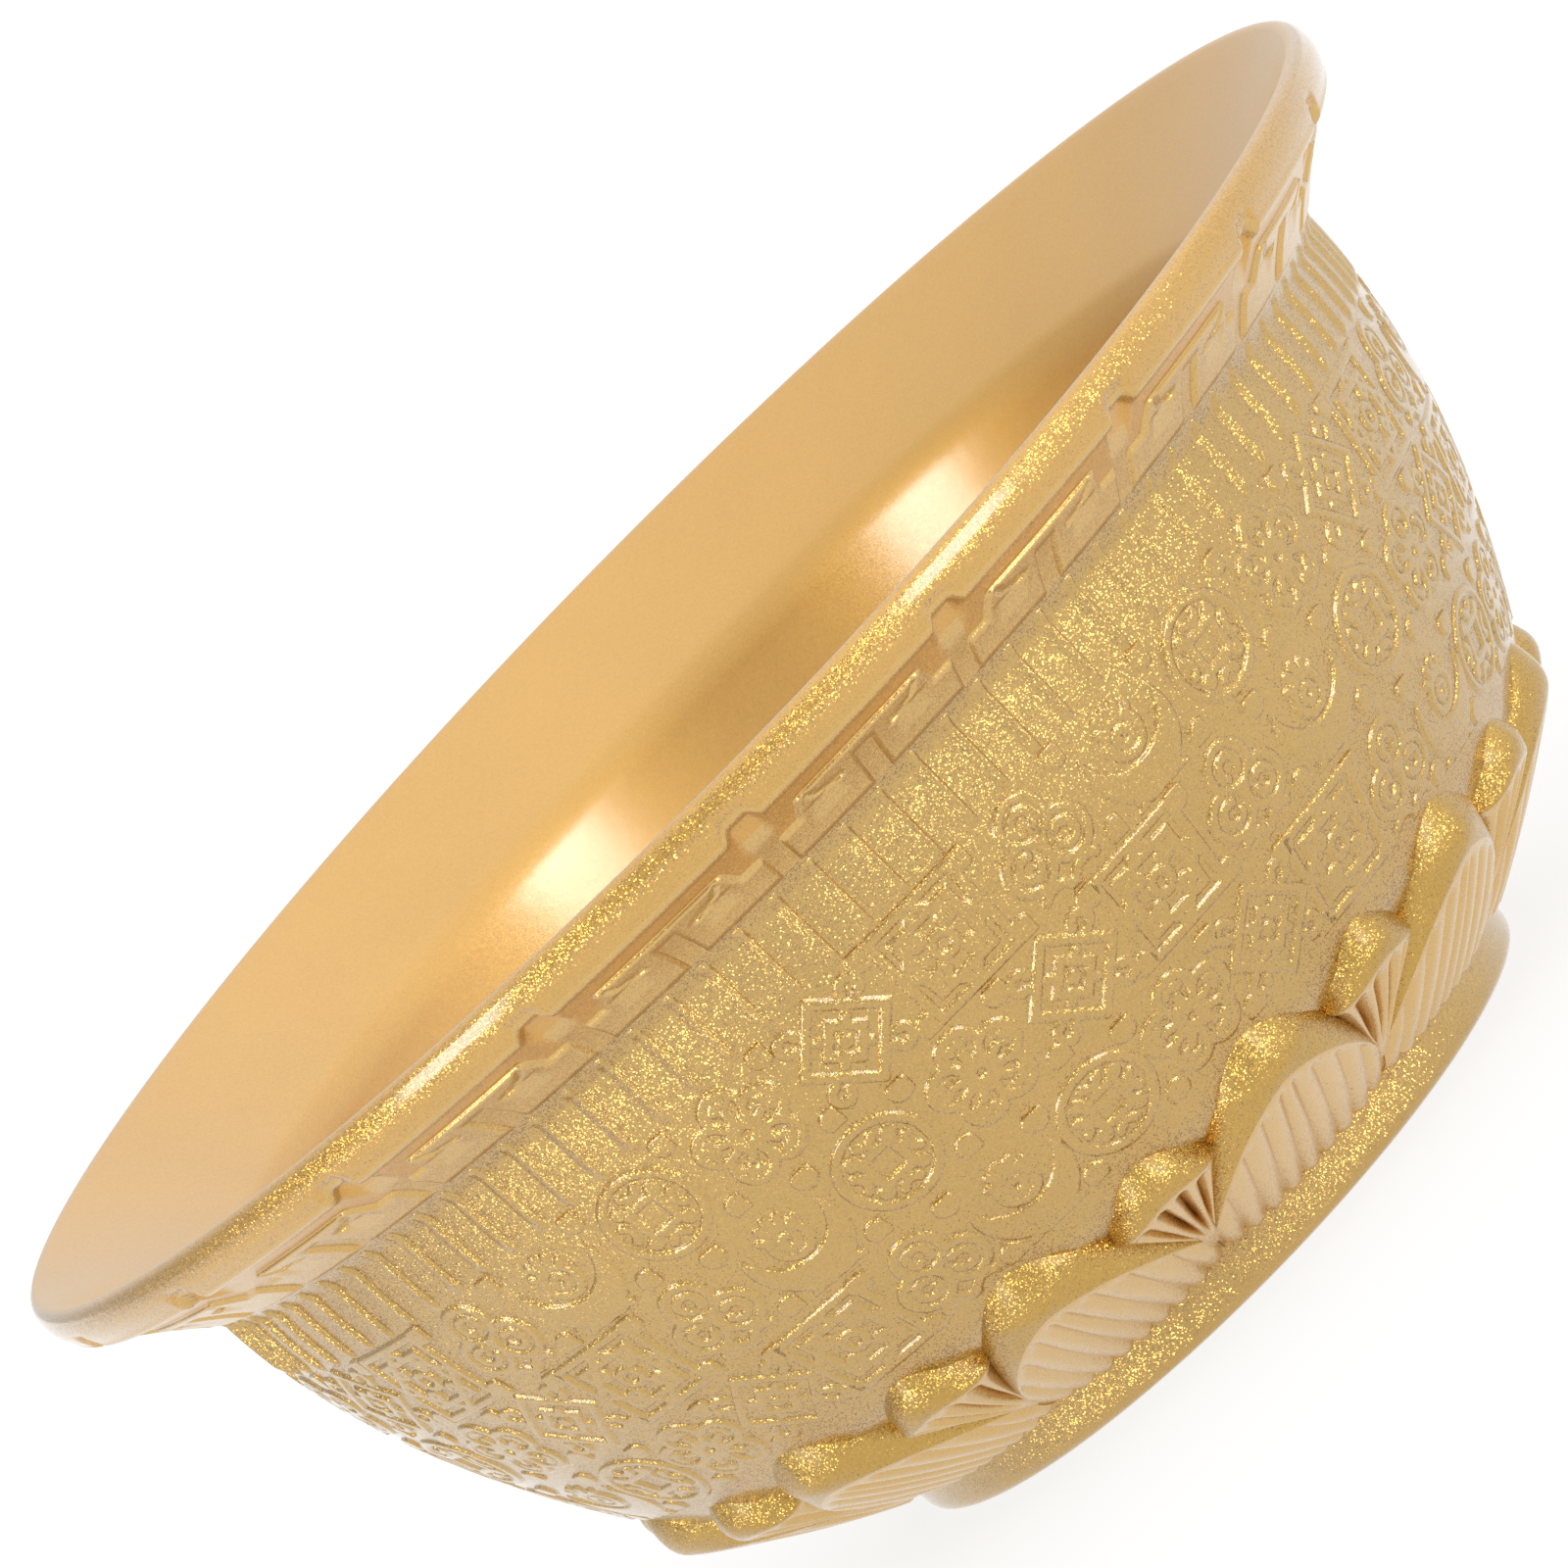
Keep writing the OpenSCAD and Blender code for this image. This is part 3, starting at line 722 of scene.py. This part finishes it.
def make_ornaments(kind, paint):
    """Every ornament of one kind, in all the rows."""
    pitch = 360 / ORNAMENT_COUNT
    all_points, all_quads, count = [], [], 0
    for row in range(ROW_COUNT):
        places = [i for i in range(ORNAMENT_COUNT) if KINDS[(i + 2 * row) % len(KINDS)] == kind]
        turns = [(i + row / 2) * pitch for i in places]
        points, quads = ornament_patch(kind, SHOULDER_Z + ROW_START + row * ROW_PITCH)
        points, quads = repeated(points, quads, turns)
        all_points.append(points)
        all_quads.append(quads + count)
        count += len(points)
    name = kind + "_emblems"
    mesh = build_mesh(name, np.concatenate(all_points), np.concatenate(all_quads))
    add_piece(name, mesh, "relief_gold", paint)


# Petals

def between(a, b, count):
    """Rows of values from a to b, without b."""
    share = np.arange(count)[:, None] / count
    return a[None] + (b - a)[None] * share


def off_vessel(along, out):
    """Points at a distance along the vessel's wall, down from the shoulder, and a distance off it."""
    z = np.linspace(SHOULDER_Z + PATH_OVER, FOOT_H, PATH_POINTS)
    path = np.stack([wall_r(z), z], axis=-1)
    steps = np.linalg.norm(np.diff(path, axis=0), axis=1)
    places = np.concatenate([[0], np.cumsum(steps)])
    places -= np.interp(-SHOULDER_Z, -z, places)
    tangent = softened(np.gradient(path, places, axis=0), PATH_PASSES)
    tangent /= np.linalg.norm(tangent, axis=1, keepdims=True)
    r = np.interp(along, places, path[:, 0]) - out * np.interp(along, places, tangent[:, 1])
    height = np.interp(along, places, path[:, 1]) + out * np.interp(along, places, tangent[:, 0])
    return r, height


def petal_rows(foot, edge, ridge, root, tip):
    """Rows of a petal's grid from its edge over the ridge to the root, softened across the corners."""
    rows = [
        between(foot, edge, EDGE_ROWS),
        between(edge, ridge, BEVEL_ROWS),
        between(ridge, root, UNDER_ROWS),
        between(root, tip, TIP_ROWS),
        tip[None],
    ]
    return softened(np.concatenate(rows), ROW_PASSES)


def flute_fold(size, t, under):
    """How deep the grooves between the flutes are cut."""
    finger = (t + 1) / 2 * size["flutes"]
    to_groove = 0.5 - np.abs(finger - np.floor(finger) - 0.5)
    groove = np.clip(1 - to_groove / size["groove"], 0, 1) ** 2
    start = smooth((under - FLUTE_START) / FLUTE_RISE)
    stop = 1 - smooth((under - size["fade"]) / FLUTE_FALL)
    return size["depth"] * groove * start * stop * (np.abs(t) < FLUTE_REACH)


def petal_grid(size):
    """Outer surface of a petal: distances along and off the vessel, and the directions of its points."""
    t = np.linspace(-1, 1, size["flutes"] * size["samples"] + 1)
    reach = np.abs(t)
    full = np.sqrt(1 - size["taper"] * reach ** TAPER_BEND)
    edge = size["top"] + (size["corner"] - size["top"]) * reach ** EDGE_BEND
    ridge = RIDGE_AT + (size["corner"] - RIDGE_AT) * reach ** size["ridge_bend"]
    root = size["root"] - ROOT_RISE * reach ** 2
    along = petal_rows(edge - EDGE_TUCK, edge, ridge, root, root)
    sunk = np.full_like(t, -EDGE_SINK)
    edge_t = (EDGE_T + (size["edge_t"] - EDGE_T) * reach ** EDGE_SWELL) * full
    drop = size["drop"] * reach ** DROP_BEND
    out = petal_rows(sunk, edge_t, (size["thick"] - drop) * full, (size["root_t"] - drop) * full, sunk)
    edge_turn = size["half"] * t
    ridge_turn = size["half"] * np.sign(t) * reach ** size["gather"]
    root_turn = size["root_half"] * t
    turn = petal_rows(edge_turn, edge_turn, ridge_turn, root_turn, root_turn)
    rows = np.arange(len(out))[:, None]
    bevel = np.clip((rows - EDGE_ROWS) / BEVEL_ROWS, 0, 1)
    under = (rows - EDGE_ROWS - BEVEL_ROWS) / UNDER_ROWS
    out += CREASE * (1 - reach) * np.sin(math.pi * bevel)
    out += BELLY * np.sin(math.pi * np.clip(under, 0, 1)) * full
    out -= flute_fold(size, t, under)
    return along, out, turn


def make_petal(name, size, turn, paints):
    """One petal, closed towards the vessel, with the flutes' paler paint below its ridge, a painted
    reflection of the white floor.
    """
    along, out, across = petal_grid(size)
    rows, columns = along.shape
    outer = around(*off_vessel(along, out), across)
    inner = around(*off_vessel(along, np.full_like(out, -SKIRT)), across)
    points = np.concatenate([outer.reshape(-1, 3), inner.reshape(-1, 3)])
    count = rows * columns
    skin = grid_quads(rows, columns)
    i = np.arange(rows - 1)
    left, right = i * columns, i * columns + columns - 1
    j = np.arange(columns - 1)
    last = (rows - 1) * columns
    walls = np.concatenate([
        np.stack([left, left + columns, left + columns + count, left + count], axis=-1),
        np.stack([right + columns, right, right + count, right + columns + count], axis=-1),
        np.stack([j + 1, j, j + count, j + 1 + count], axis=-1),
        np.stack([last + j, last + j + 1, last + j + 1 + count, last + j + count], axis=-1),
    ])
    quads = np.concatenate([skin[:, ::-1], skin + count, walls])
    points, quads = repeated(points, quads, [turn])
    mesh = build_mesh(name, points, quads)
    mesh.set_sharp_from_angle(angle=math.radians(CREASE_ANGLE))
    add_piece(name, mesh, "petal_gold", *[paints[paint] for paint in PETAL_PAINTS])
    index = np.full(len(quads), ON_BEVEL, np.int32)
    # The flutes take the paler paint, a painted reflection of the white floor
    index[(EDGE_ROWS + BEVEL_ROWS) * (columns - 1):len(skin)] = ON_FLUTES_PAINTED_REFLECTION
    mesh.polygons.foreach_set("material_index", index)


# Paint

def node(tree, kind, links=(), **values):
    """A shader node with its properties and its inputs set."""
    made = tree.nodes.new(kind)
    for key, value in values.items():
        setattr(made, key, value)
    for socket, source in links:
        if isinstance(source, bpy.types.NodeSocket):
            tree.links.new(source, made.inputs[socket])
        else:
            made.inputs[socket].default_value = source
    return made


def flake_colour(tree, look, parts, place):
    """Base colour: each flake's own shade between two golds, with a slow drift over the bowl."""
    tone = node(
        tree, "ShaderNodeTexNoise",
        [("Vector", place), ("Scale", 1 / (TONE_SIZE * MM)), ("Detail", TONE_DETAIL)],
    )
    shade = node(
        tree, "ShaderNodeMath",
        [(0, parts.outputs["Blue"]), (1, tone.outputs["Fac"])], operation="ADD",
    )
    mix = node(
        tree, "ShaderNodeMapRange",
        [("Value", shade.outputs[0]), ("From Min", TONE_FROM), ("From Max", TONE_TO)],
    )
    colour = node(tree, "ShaderNodeMix", [("Factor", mix.outputs[0])], data_type="RGBA")
    colour.inputs[6].default_value = (*look.deep, 1)
    colour.inputs[7].default_value = (*look.bright, 1)
    return colour.outputs[2]


def flake_normal(tree, look, flakes, surface):
    """The surface's normal, leant by each flake its own way."""
    centred = node(
        tree, "ShaderNodeVectorMath",
        [(0, flakes.outputs["Color"]), (1, (0.5, 0.5, 0.5))], operation="SUBTRACT",
    )
    lean = node(
        tree, "ShaderNodeVectorMath",
        [(0, centred.outputs[0]), ("Scale", look.tilt)], operation="SCALE",
    )
    tilted = node(
        tree, "ShaderNodeVectorMath",
        [(0, surface), (1, lean.outputs[0])], operation="ADD",
    )
    normal = node(tree, "ShaderNodeVectorMath", [(0, tilted.outputs[0])], operation="NORMALIZE")
    return normal.outputs[0]


def gold_paint(name, look):
    """Gold flakes, each tilted its own way, under a clear satin coat."""
    material = bpy.data.materials.new(name)
    material.use_nodes = True
    tree = material.node_tree
    shader = tree.nodes["Principled BSDF"]
    place = node(tree, "ShaderNodeTexCoord").outputs["Object"]
    flakes = node(
        tree, "ShaderNodeTexVoronoi",
        [("Vector", place), ("Scale", 1 / (FLAKE_SIZE * MM)), ("Randomness", 1.0)],
    )
    parts = node(tree, "ShaderNodeSeparateColor", [("Color", flakes.outputs["Color"])])
    gloss = node(
        tree, "ShaderNodeMapRange",
        [("Value", parts.outputs["Red"]), ("To Min", look.roughness - GLOSS_SPREAD),
         ("To Max", look.roughness + GLOSS_SPREAD)],
    )
    peel = node(
        tree, "ShaderNodeTexNoise",
        [("Vector", place), ("Scale", 1 / (PEEL_SIZE * MM)), ("Detail", PEEL_DETAIL)],
    )
    bump = node(
        tree, "ShaderNodeBump",
        [("Height", peel.outputs["Fac"]), ("Strength", PEEL_STRENGTH), ("Distance", PEEL_DEPTH * MM)],
    )
    tree.links.new(flake_colour(tree, look, parts, place), shader.inputs["Base Color"])
    tree.links.new(gloss.outputs[0], shader.inputs["Roughness"])
    tree.links.new(flake_normal(tree, look, flakes, bump.outputs[0]), shader.inputs["Normal"])
    tree.links.new(bump.outputs[0], shader.inputs["Coat Normal"])
    shader.inputs["Metallic"].default_value = 1.0
    shader.inputs["Coat Weight"].default_value = 1.0
    shader.inputs["Coat Roughness"].default_value = look.coat_roughness
    shader.inputs["Coat IOR"].default_value = look.coat_ior
    return material


# Light tent and camera

def make_floor():
    """A pale floor that keeps the bowl's shadow and is white to the camera elsewhere."""
    half = FLOOR_SIZE / 2
    points = np.array([[-half, -half, 0], [half, -half, 0], [half, half, 0], [-half, half, 0]])
    mesh = build_mesh("floor", points, [[0, 1, 2, 3]])
    floor = bpy.data.objects.new("floor", mesh)
    bpy.context.scene.collection.objects.link(floor)
    material = bpy.data.materials.new("floor_white")
    material.use_nodes = True
    tree = material.node_tree
    shader = tree.nodes["Principled BSDF"]
    shader.inputs["Base Color"].default_value = (FLOOR_ALBEDO, FLOOR_ALBEDO, FLOOR_ALBEDO, 1)
    shader.inputs["Roughness"].default_value = FLOOR_ROUGHNESS
    shader.inputs["Specular IOR Level"].default_value = 0.0
    path = node(tree, "ShaderNodeLightPath")
    seen = node(
        tree, "ShaderNodeMath",
        [(0, path.outputs["Is Camera Ray"]), (1, path.outputs["Is Glossy Ray"])], operation="MAXIMUM",
    )
    lift = node(tree, "ShaderNodeMath", [(0, seen.outputs[0]), (1, FLOOR_LIFT)], operation="MULTIPLY")
    glow = node(tree, "ShaderNodeEmission", [("Color", WHITE), ("Strength", lift.outputs[0])])
    both = node(tree, "ShaderNodeAddShader", [(0, shader.outputs[0]), (1, glow.outputs[0])])
    tree.links.new(both.outputs[0], tree.nodes["Material Output"].inputs["Surface"])
    mesh.materials.append(material)


def make_world():
    """A white tent, brightest overhead and to the right, dimmer at its opening behind the camera. The
    camera itself sees plain white."""
    world = bpy.data.worlds.new("tent")
    bpy.context.scene.world = world
    world.use_nodes = True
    tree = world.node_tree
    tent = tree.nodes["Background"]
    tent.inputs["Color"].default_value = WHITE
    place = node(tree, "ShaderNodeTexCoord").outputs["Generated"]
    axes = node(tree, "ShaderNodeSeparateXYZ", [("Vector", place)])
    level = node(
        tree, "ShaderNodeMapRange",
        [("Value", axes.outputs["Z"]), ("To Min", TENT_SIDE), ("To Max", TENT_TOP)],
    )
    lean = node(tree, "ShaderNodeMath", [(0, axes.outputs["X"]), (1, TENT_LEAN)], operation="MULTIPLY")
    opening = node(
        tree, "ShaderNodeMapRange",
        [("Value", axes.outputs["Y"]), ("From Min", OPENING_FROM), ("From Max", OPENING_TO),
         ("To Min", -TENT_OPENING), ("To Max", 0.0)],
    )
    sides = node(tree, "ShaderNodeMath", [(0, level.outputs[0]), (1, lean.outputs[0])], operation="ADD")
    total = node(tree, "ShaderNodeMath", [(0, sides.outputs[0]), (1, opening.outputs[0])], operation="ADD")
    tree.links.new(total.outputs[0], tent.inputs["Strength"])
    backdrop = node(tree, "ShaderNodeBackground", [("Color", WHITE), ("Strength", 1.0)])
    path = node(tree, "ShaderNodeLightPath")
    mixed = node(
        tree, "ShaderNodeMixShader",
        [(0, path.outputs["Is Camera Ray"]), (1, tent.outputs[0]), (2, backdrop.outputs[0])],
    )
    tree.links.new(mixed.outputs[0], tree.nodes["World Output"].inputs["Surface"])


def add_softbox(name, azimuth, power):
    """An upright lamp that faces the bowl, at an azimuth right of the camera."""
    light = bpy.data.lights.new(name, "AREA")
    light.shape = "RECTANGLE"
    light.size, light.size_y = LAMP_SIZE[0] * MM, LAMP_SIZE[1] * MM
    light.energy = power
    lamp = bpy.data.objects.new(name, light)
    bpy.context.scene.collection.objects.link(lamp)
    a, e = math.radians(azimuth), math.radians(LAMP_RISE)
    back = Vector((math.sin(a) * math.cos(e), -math.cos(a) * math.cos(e), math.sin(e)))
    lamp.location = Vector((0, 0, LAMP_AIM_Z * MM)) + back * LAMP_FAR * MM
    lamp.rotation_euler = (-back).to_track_quat("-Z", "Y").to_euler()


def make_camera():
    data = bpy.data.cameras.new("camera")
    camera = bpy.data.objects.new("camera", data)
    bpy.context.scene.collection.objects.link(camera)
    data.sensor_width = CAMERA_SENSOR
    data.lens = CAMERA_LENS
    data.clip_start, data.clip_end = CAMERA_NEAREST * MM, CAMERA_FARTHEST * MM
    rise = math.radians(CAMERA_RISE)
    back = Vector((0, -math.cos(rise), math.sin(rise)))
    look = (-back).to_track_quat("-Z", "Y").to_matrix()
    turned = look @ Matrix.Rotation(math.radians(CAMERA_ROLL), 3, "Z")
    place = Vector(CAMERA_TARGET) * MM + back * CAMERA_FAR * MM
    camera.matrix_world = Matrix.Translation(place) @ turned.to_4x4()
    bpy.context.scene.camera = camera


def build_bowl():
    paints = {name: gold_paint(name, look) for name, look in LOOKS.items()}
    make_shell(paints)
    make_foot(paints["foot_gold_flake"])
    # The fret takes the lighter fret paint, which is partly painted light
    make_fret(paints["relief_gold_fret_painted_light"])
    make_ribs(paints["relief_gold_flake"])
    for kind in KINDS:
        make_ornaments(kind, paints["relief_gold_flake"])
    pitch = 360 / PETAL_COUNT
    for i in range(PETAL_COUNT):
        make_petal(f"large_petal_{i + 1:02d}", LARGE_PETAL, PETAL_TURN + i * pitch, paints)
        make_petal(f"small_petal_{i + 1:02d}", SMALL_PETAL, PETAL_TURN + (i + 0.5) * pitch, paints)


build_bowl()
make_floor()
make_world()
for lamp_name, lamp_azimuth, lamp_power in LAMPS:
    add_softbox(lamp_name, lamp_azimuth, lamp_power)
make_camera()
bpy.context.scene.view_settings.view_transform = "Standard"
